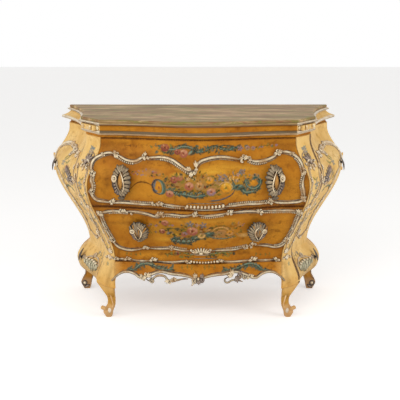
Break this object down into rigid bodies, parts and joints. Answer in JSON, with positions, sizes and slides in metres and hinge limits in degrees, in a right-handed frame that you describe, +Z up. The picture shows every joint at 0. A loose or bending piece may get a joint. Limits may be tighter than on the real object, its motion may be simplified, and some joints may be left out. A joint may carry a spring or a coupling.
{
  "type": "chest of drawers",
  "caption": "Bombe commode with a serpentine front, two sliding drawers, shell pulls, and a hinged cupboard door on each swelling side, on cabriole legs.",
  "frame": {"origin": "on the floor, under the middle of the whole", "axes": "+X to the right seen from the front, -Y out of the front, +Z up"},
  "size_m": [1.3734, 0.6152, 0.9],
  "materials": {
    "painted_wood": "aged ochre paint with painted flowers, waxed",
    "silver_gilt_wood": "carved, silver leaf under a brown glaze, rubbed",
    "marbled_wood": "painted as marble, varnished",
    "bare_wood": "bare aged softwood",
    "bronze": "dark patinated"
  },
  "bodies": {
    "carcass": {"top_board": "marbled_wood", "top_edge_moulding": "silver_gilt_wood", "frieze": "painted_wood", "necking_moulding": "silver_gilt_wood", "neck_board": "bare_wood", "corner_bracket_left": "silver_gilt_wood", "corner_bracket_right": "silver_gilt_wood", "front_post_left": "painted_wood", "front_post_right": "painted_wood", "front_leg_left": "painted_wood", "front_leg_right": "painted_wood", "rear_post_left": "painted_wood", "rear_post_right": "painted_wood", "back_panel": "bare_wood", "back_rail": "bare_wood", "bottom_board": "bare_wood", "drawer_rail": "bare_wood", "dust_board": "bare_wood", "partition_left": "bare_wood", "partition_right": "bare_wood", "upper_runners": "bare_wood", "lower_runners": "bare_wood", "cupboard_shelf_left": "bare_wood", "cupboard_shelf_right": "bare_wood", "apron_front": "painted_wood", "apron_carving": "silver_gilt_wood", "post_hinges_left": "bronze", "post_hinges_right": "bronze"},
    "upper_drawer": {"upper_drawer_front": "painted_wood", "upper_drawer_frame": "silver_gilt_wood", "upper_drawer_pulls": "silver_gilt_wood", "upper_drawer_pull_bolts": "bronze", "upper_drawer_side_left": "bare_wood", "upper_drawer_side_right": "bare_wood", "upper_drawer_bottom": "bare_wood", "upper_drawer_back": "bare_wood"},
    "lower_drawer": {"lower_drawer_front": "painted_wood", "lower_drawer_frame": "silver_gilt_wood", "lower_drawer_pulls": "silver_gilt_wood", "lower_drawer_pull_bolts": "bronze", "lower_drawer_side_left": "bare_wood", "lower_drawer_side_right": "bare_wood", "lower_drawer_bottom": "bare_wood", "lower_drawer_back": "bare_wood", "lower_drawer_edge_moulding": "silver_gilt_wood"},
    "door_left": {"door_panel_left": "painted_wood", "door_carving_left": "silver_gilt_wood", "door_pulls_left": "bronze", "door_hinges_left": "bronze", "door_lock_left": "bronze"},
    "door_right": {"door_panel_right": "painted_wood", "door_carving_right": "silver_gilt_wood", "door_pulls_right": "bronze", "door_hinges_right": "bronze", "door_lock_right": "bronze"}
  },
  "joints": [
    {"name": "upper_drawer_slide", "type": "slide", "parent": "carcass", "child": "upper_drawer", "axis": [0, -1, 0], "range_m": [0, 0.32]},
    {"name": "lower_drawer_slide", "type": "slide", "parent": "carcass", "child": "lower_drawer", "axis": [0, -1, 0], "range_m": [0, 0.28]},
    {"name": "right_door_hinge", "type": "hinge", "parent": "carcass", "child": "door_right", "pos_m": [0.6836, 0.2655, 0.635], "axis": [0, 0, 1], "range_deg": [0, 95]},
    {"name": "left_door_hinge", "type": "hinge", "parent": "carcass", "child": "door_left", "pos_m": [-0.6836, 0.2655, 0.635], "axis": [0, 0, -1], "range_deg": [0, 95]}
  ]
}
